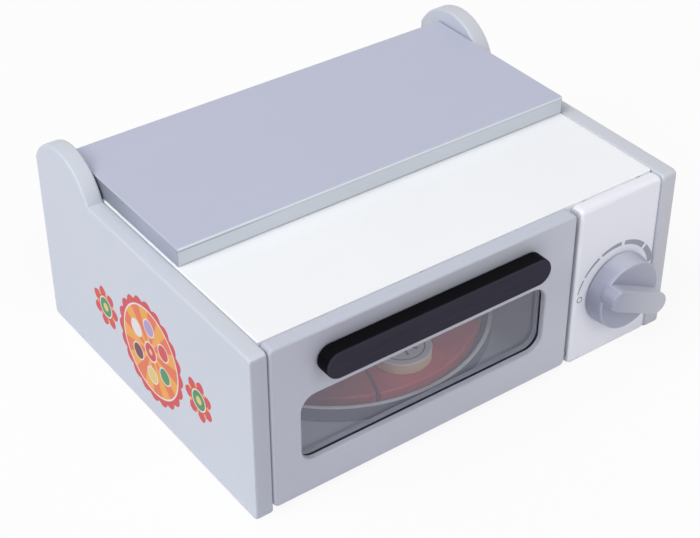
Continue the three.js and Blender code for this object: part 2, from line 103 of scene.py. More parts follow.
def angle(name, description, degrees):
    """An angle property with its default given in degrees."""
    return FloatProperty(name=name, description=description, default=math.radians(degrees), unit="ROTATION")


def share(name, description, default):
    """A property for a share, from 0 to 1."""
    return FloatProperty(name=name, description=description, default=default, min=0, max=1)


def whole(name, description, default):
    """A property for a whole number."""
    return IntProperty(name=name, description=description, default=default, min=1)


class PaintSettings(bpy.types.PropertyGroup):
    """Colours of the oven's paints and boards, and of the painted light and shade on some faces."""

    grey: colour("Grey", "Paint of the sides, base and ring in the door", 200, 206, 219)
    # Painted light on the left side: a lighter tone on its narrow edges, where more light falls, and
    # painted shade on its front edge.
    left_rim: colour("Left rim", "Paint round the edge of the left side", 206, 211, 221)
    left_front: colour("Left front", "Paint on the front edge of the left side", 176, 179, 193)
    # Painted light on the right side: a lighter tone on its narrow edges and painted shade on its front
    # edge.
    right_rim: colour("Right rim", "Paint round the edge of the right side", 205, 207, 216)
    right_front: colour("Right front", "Paint on the front edge of the right side", 199, 200, 209)
    # Painted light on the door: Door is its tone at the left end; it turns lighter toward the right end and
    # on its upper edge, where more light falls.
    door: colour("Door", "Paint of the door at its left end", 187, 188, 203)
    door_right: colour("Door right", "Paint of the door at its right end", 199, 203, 214)
    door_top: colour("Door top", "Paint on the upper edge of the door", 194, 199, 213)
    white: colour("White", "Paint of the top board", 246, 248, 251)
    panel: colour("Panel", "Paint of the control panel", 240, 241, 250)
    lilac: colour("Lilac", "Paint of the lid's top", 187, 191, 211)
    lid_edge: colour("Lid edge", "Paint of the lid's front and back edges", 205, 211, 219)
    # Painted shade: Lid end is the tone of the lid's end faces, which lie in shade beside the ears.
    lid_end: colour("Lid end", "Paint on the end grain of the lid", 160, 165, 183)
    # Painted light on the knob: Knob is its tone at the left end; it turns lighter toward the right and at
    # the top, where more light falls.
    knob: colour("Knob", "Paint of the knob at its left end", 158, 161, 181)
    knob_right: colour("Knob right", "Paint of the knob at its right end", 177, 179, 196)
    knob_top: colour("Knob top", "Paint of the knob at its upper edge", 193, 195, 208)
    # Painted highlight on the knob's bar, strongest at its right end.
    knob_worn: colour("Knob worn", "Paint of the knob where fingers rub its bar", 195, 198, 207)
    handle: colour("Handle", "Stain of the handle's sides", 7, 7, 11)
    # Painted sheen: Handle front stands for the front face's reflection of the pale surroundings.
    handle_front: colour("Handle front", "Stain of the handle's front face", 58, 56, 69)
    wood: colour("Bare wood", "Dowels and the sides of the toppings", 236, 210, 170)
    board: colour("Back board", "Thin board at the back", 190, 158, 112)
    steel: colour("Steel", "Screws, pins and magnet", 182, 184, 188)


class KnobSettings(bpy.types.PropertyGroup):
    """Sizes of the knob."""

    skirt_taper: length("Skirt taper", "How much smaller the skirt's front radius is", 1.1)
    skirt_depth: length("Skirt depth", "How far the skirt's front stands off the panel", 10)
    grip_length: length("Grip length", "Length of the bar across the skirt", 42)
    grip_width: length("Grip width", "Width of the bar across the skirt", 12.2)
    grip_turn: angle("Grip turn", "How far the bar is turned from level", 26.5)
    grip_root: length("Grip root", "How deep the bar starts inside the skirt", 2)
    edge: length("Edge", "Rounding of the knob's edges", 1)


class DialSettings(bpy.types.PropertyGroup):
    """Sizes of the printed scale round the knob."""

    outer: length("Outer radius", "Outer radius of the arcs", 26.5)
    thin: length("Thin end", "Width of the scale at its thin end", 0.7)
    thick: length("Thick end", "Width of the scale at its thick end", 3.7)
    start: angle("Start", "Angle of the thin end", 168.5)
    end: angle("End", "Angle of the thick end", 13)
    ring_turn: angle("Ring angle", "Angle of the small ring", 176.5)
    ring_reach: length("Ring reach", "Distance of the small ring from the knob's axis", 24.2)
    ring_radius: length("Ring radius", "Radius of the small ring", 1.9)
    ring_line: length("Ring line", "Width of the small ring's line", 0.6)
    film: length("Film", "Thickness of the print", 0.05)
    ink: colour("Ink", "Colour of the print", 162, 163, 178)


class PictureSettings(bpy.types.PropertyGroup):
    """The printed rosettes on the left side."""

    middle_y: length("Place along", "Place of the middle rosette along the side", -8)
    middle_z: length("Height", "Height of the rosettes' centres", 41.5)
    radius: length("Radius", "Radius of the middle rosette", 30)
    rim: length("Rim", "Width of the middle rosette's rim", 4.4)
    rim_line: length("Rim line", "Width of the thin line inside the rim", 0.9)
    side_gap: length("Side gap", "Distance from the middle rosette's centre to the small ones'", 44)
    side_radius: length("Side radius", "Radius of the small rosettes", 12)
    lobes: whole("Lobes", "Lobes round the middle rosette", 20)
    petals: whole("Petals", "Petals of a small rosette", 7)
    wedges: whole("Wedges", "Pairs of coloured wedges in the middle rosette", 9)
    orange: colour("Orange", "Every other wedge", 222, 104, 58)
    yellow: colour("Yellow", "The other wedges", 230, 158, 52)
    red: colour("Red", "Rims, petals and hub", 202, 52, 62)
    white: colour("White", "Thin lines", 222, 218, 220)
    green: colour("Green", "One of the dots", 52, 134, 76)
    maroon: colour("Maroon", "One of the dots", 98, 38, 50)
    violet: colour("Violet", "One of the dots", 170, 143, 192)
    cream: colour("Cream", "One of the dots", 215, 192, 116)


class PaneSettings(bpy.types.PropertyGroup):
    """Looks of the clear pane."""

    ring: length("Ring", "Width of the ring that holds the pane", 5.7)
    corner: length("Corner", "Radius of the window's corners", 8)
    margin: length("Margin", "How far outside the window the pane's dark margin starts", 0.5)
    mirror: share("Mirror", "Share of light that each face mirrors", 0.07)
    haze: share("Haze", "Share of light that fine rubbing stops", 0.02)
    silver: colour("Mirror colour", "Colour of what the pane mirrors", 232, 235, 252)
    # Painted shade: the near-black margin stands for the shade in the groove round the pane.
    dark: colour("Margin colour", "Colour of the pane's margin", 16, 15, 20)


class FoodSettings(bpy.types.PropertyGroup):
    """Colours and sizes of the tray and the play food."""

    tray: colour("Tray", "Paint of the tray", 118, 120, 140)
    # Painted highlight: Tray rim is the tone of the rim's top, where it catches the light.
    tray_rim: colour("Tray rim", "Paint of the tray's rim", 246, 246, 250)
    tomato: colour("Tomato", "Paint of the slices", 214, 70, 68)
    # Painted shadow: the tone of the slices' left part, where the oven's side shades them.
    baked: colour("Shadowed", "Paint where the slices look baked longest", 120, 53, 57)
    topping: colour("Topping", "Print on the toppings", 230, 226, 230)
    seed: colour("Marks", "Marks printed on the toppings", 60, 55, 70)
    rim_width: length("Rim width", "Width of the tray's rim", 2.6)
    tray_floor: length("Tray floor", "Thickness of the tray's floor", 3)
    edge: length("Edge", "Rounding of the tray and toppings", 0.8)


class StageSettings(bpy.types.PropertyGroup):
    """Camera, lamps and floor."""

    camera: FloatVectorProperty(
        name="Camera", description="Place of the camera", default=(-0.4095, -0.5634, 0.5408),
        subtype="TRANSLATION")
    camera_turn: FloatVectorProperty(
        name="Camera turn", description="Turn of the camera about X, Y and Z",
        default=(0.9394, 0.00222, -0.62626), subtype="EULER")
    lens: FloatProperty(name="Lens", description="Focal length in millimetres", default=84.56)
    sensor: FloatProperty(name="Sensor", description="Width of the sensor in millimetres", default=36)
    key: FloatProperty(name="Key lamp", description="Power of the large lamp", default=100, unit="POWER")
    key_from: FloatVectorProperty(
        name="Key from", description="Direction that the large lamp shines from",
        default=(-0.65, -0.03, 0.76), subtype="DIRECTION")
    fill: FloatProperty(
        name="Fill lamp", description="Power of the lamp in front", default=36, unit="POWER")
    fill_from: FloatVectorProperty(
        name="Fill from", description="Direction that the lamp in front shines from",
        default=(0.05, -0.76, 0.65), subtype="DIRECTION")
    lamp_distance: FloatProperty(
        name="Lamp distance", description="How far off the lamps are", default=4, unit="LENGTH")
    lamp_size: FloatProperty(name="Lamp size", description="Side of a lamp", default=2.6, unit="LENGTH")
    sky: share("Sky", "Level of the light from all round", 0.38)
    floor: colour("Floor", "Colour of the floor", 240, 240, 242)
    floor_reach: FloatProperty(
        name="Floor reach", description="Half the floor's side", default=6, unit="LENGTH")
    floor_drop: length("Floor drop", "How far the floor lies below the oven", 0.2)
    floor_glow: share("Floor glow", "Share of plain white in the seen floor", 0.9)


class OvenSettings(bpy.types.PropertyGroup):
    """Everything that a user of the toy oven would change."""

    paint: PointerProperty(type=PaintSettings)
    knob: PointerProperty(type=KnobSettings)
    dial: PointerProperty(type=DialSettings)
    picture: PointerProperty(type=PictureSettings)
    pane: PointerProperty(type=PaneSettings)
    food: PointerProperty(type=FoodSettings)
    stage: PointerProperty(type=StageSettings)


class Signal:
    """An output of a material's nodes. Sums on it add Math nodes."""

    def __init__(self, finish, socket):
        self.finish = finish
        self.socket = socket

    def math(self, operation, *terms):
        """One Math node on this signal and the terms after it."""
        return self.finish.add("ShaderNodeMath", {"operation": operation}, dict(enumerate((self, *terms))))

    def other(self, output):
        """Another output of the same node."""
        return Signal(self.finish, self.socket.node.outputs[output])

    def __add__(self, term):
        return self.math("ADD", term)

    def __sub__(self, term):
        return self.math("SUBTRACT", term)

    def __rsub__(self, term):
        return self.math("MULTIPLY_ADD", -1, term)

    def __mul__(self, term):
        return self.math("MULTIPLY", term)

    def __truediv__(self, term):
        return self.math("DIVIDE", term)

    def __abs__(self):
        return self.math("ABSOLUTE")

    __radd__ = __add__
    __rmul__ = __mul__

    def least(self, term):
        """The smaller of the two."""
        return self.math("MINIMUM", term)

    def most(self, term):
        """The larger of the two."""
        return self.math("MAXIMUM", term)

    def held(self, low=0):
        """The signal held between a low value and 1."""
        return self.most(low).least(1)

    def inside(self, limit, soft):
        """1 where the signal is below the limit, 0 above it, with an edge as wide as soft."""
        return ((limit - self) / soft + 0.5).held()

    def near(self, level, reach, soft):
        """1 within a reach of a level, 0 beyond it, with an edge as wide as soft."""
        return abs(self - level).inside(reach, soft)


class Nodes:
    """The nodes of a material or of the world."""

    def __init__(self, owner, end="ShaderNodeOutputMaterial"):
        owner.use_nodes = True
        self.owner = owner
        self.end = end
        self.tree = owner.node_tree
        self.tree.nodes.clear()

    def add(self, kind, settings=None, inputs=None, output=0):
        """Adds a node of a kind, sets it up, feeds its sockets, and gives one of its outputs."""
        node = self.tree.nodes.new(kind)
        for name, value in (settings or {}).items():
            if name == "stops":
                self.set_stops(node.color_ramp, value)
            else:
                setattr(node, name, value)
        for name, value in (inputs or {}).items():
            if isinstance(value, Signal):
                self.tree.links.new(value.socket, node.inputs[name])
            else:
                node.inputs[name].default_value = value
        return None if output is None else Signal(self, node.outputs[output])

    def set_stops(self, ramp, stops):
        """Gives a ramp steps of colour at places from 0 to 1."""
        ramp.interpolation = "CONSTANT"
        while len(ramp.elements) < len(stops):
            ramp.elements.new(1)
        for element, (place, tone) in zip(ramp.elements, stops):
            element.position = place
            element.color = (*tone, 1)

    def place(self):
        """Where a point is, in the oven's own frame."""
        return self.add("ShaderNodeTexCoord", output="Object")

    def axes(self, vector):
        """The three parts of a vector."""
        across = self.add("ShaderNodeSeparateXYZ", inputs={0: vector})
        return across, across.other(1), across.other(2)

    def noise(self, vector, scale, detail=2):
        """Soft random tone from 0 to 1."""
        return self.add("ShaderNodeTexNoise", inputs={"Vector": vector, "Scale": scale, "Detail": detail})

    def streaks(self, place, grain, detail=5):
        """Soft random streaks along a grain, from 0 to 1."""
        stretched = self.add("ShaderNodeMapping", inputs={"Vector": place, "Scale": grain})
        return self.noise(stretched, 1, detail)

    def mix(self, factor, first, second):
        """A colour between two colours. A Mix node takes them at sockets 6 and 7, and gives it at 2."""
        inputs = {0: factor, 6: plain(first), 7: plain(second)}
        return self.add("ShaderNodeMix", {"data_type": "RGBA"}, inputs, 2)

    def bump(self, height, distance):
        """A surface direction that follows small heights."""
        return self.add("ShaderNodeBump", inputs={"Height": height, "Distance": distance})

    def edges(self, place, node, width):
        """1 along the edges of a solid's box, falling to 0 over a width."""
        low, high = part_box(node)
        middle = (low + high) / 2
        half = (high - low) / 2
        first, second, third = (half[i] - abs(part - middle[i]) for i, part in enumerate(self.axes(place)))
        near = first.least(second).most(first.most(second).least(third))
        return (1 - near / width).most(0)

    def seen(self):
        """1 on rays that show a background: from the camera, in a mirror or through glass."""
        camera = self.add("ShaderNodeLightPath", output="Is Camera Ray")
        return camera.most(camera.other("Is Glossy Ray")).most(camera.other("Is Transmission Ray"))

    def shader(self, **inputs):
        """A principled shader whose sockets are given in small letters."""
        named = {}
        for name, value in inputs.items():
            named[name.replace("_", " ").title().replace("Ior", "IOR")] = value
        return self.add("ShaderNodeBsdfPrincipled", inputs=named)

    def shown(self, shader):
        """Links a shader to the output, and gives the material back."""
        self.add(self.end, inputs={"Surface": shader}, output=None)
        return self.owner

    def surface(self, **inputs):
        """Ends the material with a principled shader."""
        return self.shown(self.shader(**inputs))


def new_finish(name):
    """The empty nodes of a new material."""
    return Nodes(bpy.data.materials.new(name))


def plain(tone):
    """A colour as a Mix node takes it."""
    return tone if isinstance(tone, Signal) else (*tone, 1)


def shade(tone, factor):
    """A colour made lighter or darker."""
    return tuple(min(part * factor, 1) for part in tone)


def span(first, second):
    """How far a point is from a centre, from its distances along two axes."""
    return (first * first + second * second).math("SQRT")


def turn_of(across, rise):
    """The turn of a point about a centre, from 0 to 1."""
    return rise.math("ARCTAN2", across) / math.tau + 0.5


def paint_coat(finish, place, node, tone, grain):
    """Base colour, roughness and normal of satin paint on wood, whose grain shows a little, with a painted
    highlight along the edges of the solid's box.
    """
    broad = finish.noise(place, scale=BROAD, detail=3)
    streaks = finish.streaks(place, grain)
    peel = finish.noise(place, scale=PEEL)
    painted_highlight = finish.edges(place, node, 1.4 * MM)
    base = finish.mix(broad, shade(tone, 0.975), shade(tone, 1.025))
    base = finish.mix(streaks * 0.5, base, shade(tone, 0.965))
    # Painted highlight: a lighter band along the box's edges, where rounded edges catch the light.
    base = finish.mix(painted_highlight * 0.2, base, shade(tone, 1.1))
    roughness = broad * 0.12 + streaks * 0.08 + 0.38
    normal = finish.bump(streaks * 0.6 + peel * 0.4, distance=0.03 * MM)
    return base, roughness, normal


# Depth of a point below each face of a box. The rim is all that lies away from the two faces across X.
RIM_FROM = 1.1 * MM
DEPTH_BELOW = {
    "left": lambda low, high, across, along, up: across - low.x,
    "right": lambda low, high, across, along, up: high.x - across,
    "front": lambda low, high, across, along, up: along - low.y,
    "top": lambda low, high, across, along, up: high.z - up,
    "rim": lambda low, high, across, along, up: RIM_FROM - (across - low.x).least(high.x - across)}


def face_light(finish, place, node, base, faces):
    """Paints light or shade onto a piece near some faces, each down to a limit with a soft edge."""
    low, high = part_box(node)
    axes = finish.axes(place)
    for face, tone, limit, soft in faces:
        depth = DEPTH_BELOW[face](low, high, *axes)
        base = finish.mix(depth.inside(limit, soft) * 0.9, base, tone)
    return base


def paint_board(node, name, tone, grain=GRAIN_X, faces=()):
    """Gives a board satin paint, some of whose faces can take painted light or shade."""
    finish = new_finish(name)
    place = finish.place()
    base, roughness, normal = paint_coat(finish, place, node, tone, grain)
    base = face_light(finish, place, node, base, faces)
    softened(node, finish.surface(base_color=base, roughness=roughness, normal=normal))


def lobed(across, rise, lobes, depth):
    """Distance from a rosette's centre, its turn from 0 to 1, and the distance drawn out by its lobes."""
    reach = span(across, rise)
    turn = turn_of(across, rise)
    wave = abs((turn * (lobes * math.pi)).math("COSINE"))
    return reach, turn, reach / (wave * depth + (1 - depth))


def ring_of_dots(reach, turn, count, distance):
    """Distance to the nearest of a ring of dots."""
    swing = ((turn * count).math("FRACT") - 0.5) * (math.tau / count)
    return span(reach * swing.math("SINE"), reach * swing.math("COSINE") - distance)


def discs(finish, base, reach, layers):
    """Lays discs over a colour, the largest first, each of a radius and a tone."""
    for radius, tone in layers:
        base = finish.mix(reach.inside(radius, PRINT_EDGE), base, tone)
    return base


def flower_print(finish, across, rise, look):
    """A small rosette of petals: where it is printed, and its colours."""
    heart, heart_line, core = 5.4 * MM, 0.8 * MM, 2.4 * MM
    seed, seed_ring = 1.1 * MM, 8 * MM
    reach, turn, lobe = lobed(across, rise, look.petals, depth=0.3)
    seeds = ring_of_dots(reach, turn, look.petals, seed_ring)
    tones = discs(finish, look.red, reach, [(heart + heart_line, look.white)])
    tones = discs(finish, tones, seeds, [(seed, look.yellow)])
    tones = discs(finish, tones, reach, [(heart, look.green), (core, look.cream)])
    return lobe.inside(look.side_radius, PRINT_EDGE), tones


def wheel_print(finish, across, rise, look):
    """The middle rosette, of wedges and dots within a lobed rim: where it is printed, and its colours."""
    dot, dot_line, dot_ring = 4.4 * MM, 0.7 * MM, 14.4 * MM
    hub, hub_line, core = 5 * MM, 0.8 * MM, 1.6 * MM
    reach, turn, lobe = lobed(across, rise, look.lobes, depth=0.07)
    wedge = ((turn * look.wedges).math("PINGPONG", 0.5) * 2).inside(0.5, soft=0.06)
    wedges = finish.mix(wedge, look.yellow, look.orange)
    inner = look.radius - look.rim
    tones = discs(finish, look.red, reach, [(inner, look.white), (inner - look.rim_line, wedges)])
    dots = (look.green, look.cream, look.maroon, look.white, look.violet, look.red)
    stops = [(index / len(dots), dot) for index, dot in enumerate(dots)]
    dot_tone = finish.add("ShaderNodeValToRGB", {"stops": stops}, {0: turn})
    gap = ring_of_dots(reach, turn, len(dots), dot_ring)
    tones = discs(finish, tones, gap, [(dot + dot_line, look.white), (dot, dot_tone)])
    tones = discs(finish, tones, reach, [(hub + hub_line, look.white), (hub, look.red), (core, look.cream)])
    return lobe.inside(look.radius, PRINT_EDGE), tones


def pictured(name, tone, look, faces):
    """The left side's paint with painted light near its faces, and its print: a wheel of wedges and dots
    between two flowers.
    """
    finish = new_finish(name)
    place = finish.place()
    base, roughness, normal = paint_coat(finish, place, "left_side_panel", tone, GRAIN_Y)
    base = face_light(finish, place, "left_side_panel", base, faces)
    depth, along, up = finish.axes(place)
    across = along - look.middle_y
    rise = up - look.middle_z
    flower, flower_tones = flower_print(finish, abs(across) - look.side_gap, rise, look)
    wheel, wheel_tones = wheel_print(finish, across, rise, look)
    printed = flower.most(wheel) * depth.inside(SIDE_LOW.x + 0.1 * MM, soft=0.02 * MM)
    base = finish.mix(printed, base, finish.mix(wheel, flower_tones, wheel_tones))
    return finish.surface(base_color=base, roughness=roughness - printed * 0.08, normal=normal)


def knobbed(name, paint, centre, radius, front, grip):
    """The knob's paint with painted light: lighter toward the right and at the top, painted shade on the
    skirt's left side, and painted highlights toward one end of its bar and round the front rim of its
    skirt.
    """
    finish = new_finish(name)
    place = finish.place()
    base, roughness, normal = paint_coat(finish, place, "knob", paint.knob, GRAIN_Z)
    # Painted light: lighter toward the right and at the top, and painted shade on the skirt's left side.
    faces = (
        ("right", paint.knob_right, grip / 2, grip),
        ("left", shade(paint.knob, 0.8), 1.3 * MM, 1.8 * MM),
        ("top", paint.knob_top, 2 * MM, 3 * MM))
    base = face_light(finish, place, "knob", base, faces)
    across, depth, up = finish.axes(place)
    across, up = across - centre.x, up - centre.z
    # Painted highlight on the bar, growing toward its right end.
    bar_part = depth.inside(front - 0.6 * MM, soft=0.4 * MM)
    base = finish.mix(bar_part * (across / grip + 0.5).held(), base, paint.knob_worn)
    # Painted highlight: a lighter ring round the front rim of the skirt.
    rim = span(across, up).near(radius - 0.2 * MM, reach=0.3 * MM, soft=0.25 * MM)
    base = finish.mix(rim * 0.5, base, shade(paint.knob, 1.45))
    return finish.surface(base_color=base, roughness=roughness - rim * 0.05, normal=normal)


def lidded(name, paint):
    """The lid's paint: its edges are paler than its top, with a seam and a painted highlight line along
    their top; its end faces carry painted shade, deepest toward the back beside the ears.
    """
    finish = new_finish(name)
    place = finish.place()
    low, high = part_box("lid_board")
    across, along, up = finish.axes(place)
    top, roughness, normal = paint_coat(finish, place, "lid_board", paint.lilac, GRAIN_X)
    broad = finish.noise(place, scale=BROAD, detail=3)
    soft = 0.3 * MM

    edge = finish.mix(broad, shade(paint.lid_edge, 0.97), shade(paint.lid_edge, 1.03))
    # Painted highlight: a lighter line just below the top of the lid's front and back edges, where the
    # rounded edge catches light.
    line = up.near(high.z - 0.6 * MM, reach=0.4 * MM, soft=0.2 * MM)
    edge = finish.mix(line * 0.8, edge, shade(paint.lid_edge, 1.3))
    seam = up.near(high.z - 1.8 * MM, reach=0.22 * MM, soft=0.12 * MM)
    leftward = ((low.x + 70 * MM - across) / (40 * MM)).held(0.15)
    edge = finish.mix(seam * leftward * 0.9, edge, shade(paint.lid_edge, 0.35))
    below = up.inside(high.z - 0.35 * MM, soft)
    base = finish.mix(below, top, edge)

    # Painted shade on the lid's end faces, darkening toward the back where the ears stand beside them.
    end = 1 - abs(across).inside(high.x - 0.4 * MM, soft)
    ear_shadow = ((along - 8 * MM) / (50 * MM)).held()
    end_shade = finish.mix(ear_shadow * 0.85, shade(paint.lid_end, 1.06), shade(paint.lid_end, 0.2))
    base = finish.mix(end * below, base, finish.mix(broad * 0.4, end_shade, paint.lid_end))
    return finish.surface(base_color=base, roughness=roughness, normal=normal)


def grained(name, tone):
    """Bare wood with streaks along X and fine pores."""
    finish = new_finish(name)
    place = finish.place()
    bend = finish.noise(place, scale=30)
    rings = (finish.streaks(place, GRAIN_X, detail=6) * 4 + bend).math("FRACT")
    pores = finish.streaks(place, tuple(part * 4 for part in GRAIN_X), detail=3)
    base = finish.mix(rings, shade(tone, 0.72), tone)
    base = finish.mix(pores * 0.35, base, shade(tone, 0.576))
    normal = finish.bump(rings * 0.3 + pores * 0.7, distance=0.05 * MM)
    return finish.surface(base_color=base, roughness=pores * 0.2 + 0.55, normal=normal)


def stained(name, tone, front_sheen, front, reach):
    """The handle's near-black stain, with a painted sheen that makes its front face paler than its sides.
    """
    finish = new_finish(name)
    place = finish.place()
    streaks = finish.streaks(place, GRAIN_X)
    # Painted sheen: the front face is paler than the sides.
    face = finish.axes(place)[1].inside(front + reach, soft=0.6 * MM)
    base = finish.mix(face, tone, front_sheen)
    base = finish.mix(streaks * 0.35, base, shade(tone, 0.7))
    normal = finish.bump(streaks, distance=0.03 * MM)
    roughness = streaks * 0.15 + 0.5
    return finish.surface(base_color=base, roughness=roughness, normal=normal, specular_ior_level=0.05)


def brushed(name, tone, middle, spread):
    """Steel with turning marks and a recess of two crossed slots in each head, sunk by a bump and filled
    with painted shade. The heads lie evenly about a middle.
    """
    finish = new_finish(name)
    place = finish.place()
    across, _, up = finish.axes(place)
    across = abs(abs(across - middle[0]) - spread[0])
    up = abs(abs(up - middle[1]) - spread[1])
    arm, slot, soft = 1.3 * MM, 0.3 * MM, 0.12 * MM
    level = across.inside(arm, soft) * up.inside(slot, soft)
    recess_and_shade = level.most(across.inside(slot, soft) * up.inside(arm, soft))
    scratches = finish.noise(place, scale=2600, detail=3)
    # Painted shade: the recess is near-black, as shade fills it.
    base = finish.mix(recess_and_shade * 0.85, finish.mix(scratches, shade(tone, 0.9), tone), shade(tone, 0.06))
    normal = finish.bump(scratches * 0.04 - recess_and_shade, distance=0.35 * MM)
    return finish.surface(base_color=base, metallic=1.0, roughness=scratches * 0.15 + 0.22, normal=normal)


def clear(name, look):
    """A clear sheet that mirrors a little, with rubbing marks; outside the window's opening it is a
    near-black painted shade for the groove that holds it.
    """
    finish = new_finish(name)
    place = finish.place()
    low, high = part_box("pane_retainer")
    middle = (low + high) / 2
    half = (high - low) / 2
    across, _, up = finish.axes(place)
    out_x = (abs(across - middle.x) - (half.x - look.ring - look.corner)).most(0)
    out_z = (abs(up - middle.z) - (half.z - look.ring - look.corner)).most(0)
    open_part = span(out_x, out_z).inside(look.corner + look.margin, soft=0.15 * MM)
    rubbed = finish.streaks(place, GRAIN_X, detail=4)
    facing = finish.add("ShaderNodeLayerWeight", output="Facing")
    mirrored = facing.math("POWER", 5) * 0.9 + look.mirror + rubbed * look.haze
    tinge = (0.98, 0.98, 0.985, 1)
    see_through = finish.add("ShaderNodeBsdfTransparent", inputs={"Color": tinge})
    # Outside the opening the pane is an opaque near-black sheet: painted shade for the shaded groove.
    mirror = finish.shader(
        base_color=finish.mix(open_part, look.dark, look.silver), metallic=open_part,
        roughness=0.55 - open_part * 0.5 + rubbed * 0.05, specular_ior_level=0.1)
    factor = mirrored.most(1 - open_part)
    return finish.shown(finish.add("ShaderNodeMixShader", inputs={0: factor, 1: see_through, 2: mirror}))


def sauced(name, tone, baked):
    """Red paint of the play slices, uneven as sauce is, with a painted shadow darkening them toward the
    left.
    """
    finish = new_finish(name)
    place = finish.place()
    pools = finish.noise(place, scale=90, detail=4)
    fine = finish.noise(place, scale=700, detail=3)
    base = finish.mix(pools, shade(tone, 0.86), shade(tone, 1.16))
    base = finish.mix(fine * 0.3, base, shade(tone, 0.8))
    # Painted shadow, deepening toward the left where the oven's side shades the slices.
    shadow_from, shadow_over, wander = -38 * MM, 36 * MM, 12 * MM
    leftward = ((shadow_from - finish.axes(place)[0] + pools * wander) / shadow_over).held()
    base = finish.mix(leftward * 0.85, base, baked)
    normal = finish.bump(pools * 0.7 + fine * 0.3, distance=0.12 * MM)
    return finish.surface(base_color=base, roughness=fine * 0.15 + 0.4, normal=normal)


def rimmed(name, tone, rim_highlight, height):
    """The tray's paint, with a painted highlight along its rim."""
    finish = new_finish(name)
    place = finish.place()
    broad = finish.noise(place, scale=20, detail=3)
    peel = finish.noise(place, scale=PEEL)
    # Painted highlight on the rim's top.
    rim = 1 - finish.axes(place)[2].inside(height, soft=0.2 * MM)
    base = finish.mix(broad, shade(tone, 0.94), shade(tone, 1.06))
    base = finish.mix(rim * 0.9, base, rim_highlight)
    normal = finish.bump(peel, distance=0.02 * MM)
    return finish.surface(base_color=base, roughness=broad * 0.1 + 0.35, normal=normal)


def topped(name, node, wood, print_tone, mark_tone):
    """A topping: bare wood sides and a printed top with a ring and short marks round its middle."""
    finish = new_finish(name)
    place = finish.place()
    low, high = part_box(node)
    middle = (low + high) / 2
    across, along, up = finish.axes(place)
    across, along = across - middle.x, along - middle.y
    reach = span(across, along)
    soft = 0.3 * MM
    ring_radius, mark_reach, mark_length, mark_width = 11.6 * MM, 6.4 * MM, 4 * MM, 1.4 * MM
    marks = 7
    streaks = finish.streaks(place, GRAIN_X)
    fine = finish.noise(place, scale=900, detail=3)
    base = finish.mix(streaks, shade(wood, 0.8), wood)
    printed = finish.mix(fine, shade(print_tone, 0.9), print_tone)
    swing = abs((turn_of(across, along) * marks).math("FRACT") - 0.5) * reach * (math.tau / marks)
    mark = swing.inside(mark_width / 2, soft) * reach.near(mark_reach, mark_length / 2, soft)
    printed = finish.mix(reach.near(ring_radius, 0.4 * MM, soft).most(mark), printed, mark_tone)
    base = finish.mix(1 - up.inside(high.z - 0.5 * MM, soft), base, printed)
    normal = finish.bump(streaks * 0.7 + fine * 0.3, distance=0.04 * MM)
    return finish.surface(base_color=base, roughness=fine * 0.15 + 0.5, normal=normal)


def sealed(form):
    """Turns a form's faces outward, and stops if it has an open or doubled edge."""
    bmesh.ops.recalc_face_normals(form, faces=form.faces[:])
    if any(len(edge.link_faces) != 2 for edge in form.edges):
        raise RuntimeError("a piece isn't closed")


def middle_at(low, high, axis, level):
    """The middle of a box, moved along an axis, such as "x", to a level."""
    point = (low + high) / 2
    setattr(point, axis, level)
    return point


def raised(form, faces, step):
    """Pulls faces out by a step into a closed form, and gives the points that moved."""
    pulled = bmesh.ops.extrude_face_region(form, geom=faces, use_keep_orig=True)["geom"]
    points = [part for part in pulled if isinstance(part, bmesh.types.BMVert)]
    bmesh.ops.translate(form, verts=points, vec=step)
    return points


def lathe(form, profile, centre, axis, side, steps):
    """Turns a line of (radius, height) points about an axis, from the side given, into a closed form."""
    points = [form.verts.new(centre + side * radius + axis * height) for radius, height in profile]
    lines = [form.edges.new(pair) for pair in zip(points, points[1:])]
    bmesh.ops.spin(
        form, geom=points + lines, cent=centre, axis=axis, dvec=(0, 0, 0), angle=math.tau, steps=steps,
        use_merge=True, use_duplicate=False)
    bmesh.ops.remove_doubles(form, verts=form.verts[:], dist=MERGE)


def band(form, centre, side, inner, outer, turn, steps):
    """A flat band that faces forward, swept about its centre from the side given."""
    ends = [form.verts.new(centre + side * reach) for reach in (inner, outer)]
    line = form.edges.new(ends)
    bmesh.ops.spin(
        form, geom=[*ends, line], cent=centre, axis=FORWARD, dvec=(0, 0, 0), angle=turn, steps=steps,
        use_merge=turn == math.tau, use_duplicate=False)


def bar(form, centre, width, height, depth, turn, sides):
    """A bar with round ends that stands forward from its centre at the back."""
    upright = Matrix.Rotation(math.pi / 2, 4, "X")
    half_step = Matrix.Rotation(math.pi / sides, 4, "Z")
    made = bmesh.ops.create_circle(form, cap_ends=True, segments=sides, radius=height / 2, matrix=half_step)
    for point in made["verts"]:
        point.co.x += math.copysign((width - height) / 2, point.co.x)
    front = raised(form, [made["verts"][0].link_faces[0]], (0, 0, depth))
    placed = Matrix.Translation(centre) @ Matrix.Rotation(turn, 4, "Y") @ upright
    bmesh.ops.transform(form, matrix=placed, verts=made["verts"] + front)


def placed_piece(name, form, material, body, node=None):
    """Makes a finished piece of a form, rides it on a body, and stands it in for a solid."""
    mesh = bpy.data.meshes.new(name)
    form.to_mesh(mesh)
    form.free()
    mesh.shade_smooth()
    mesh.materials.append(material)
    piece = bpy.data.objects.new(name, mesh)
    bpy.context.scene.collection.objects.link(piece)
    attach(piece, body)
    if node:
        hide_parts(node)
    return piece


def round_edges(piece, width):
    """Rounds every sharp edge of a piece."""
    bevel = piece.modifiers.new("Rounded edges", "BEVEL")
    bevel.width = width
    bevel.segments = 4
    bevel.limit_method = "ANGLE"
    bevel.angle_limit = math.radians(40)
    bevel.harden_normals = True


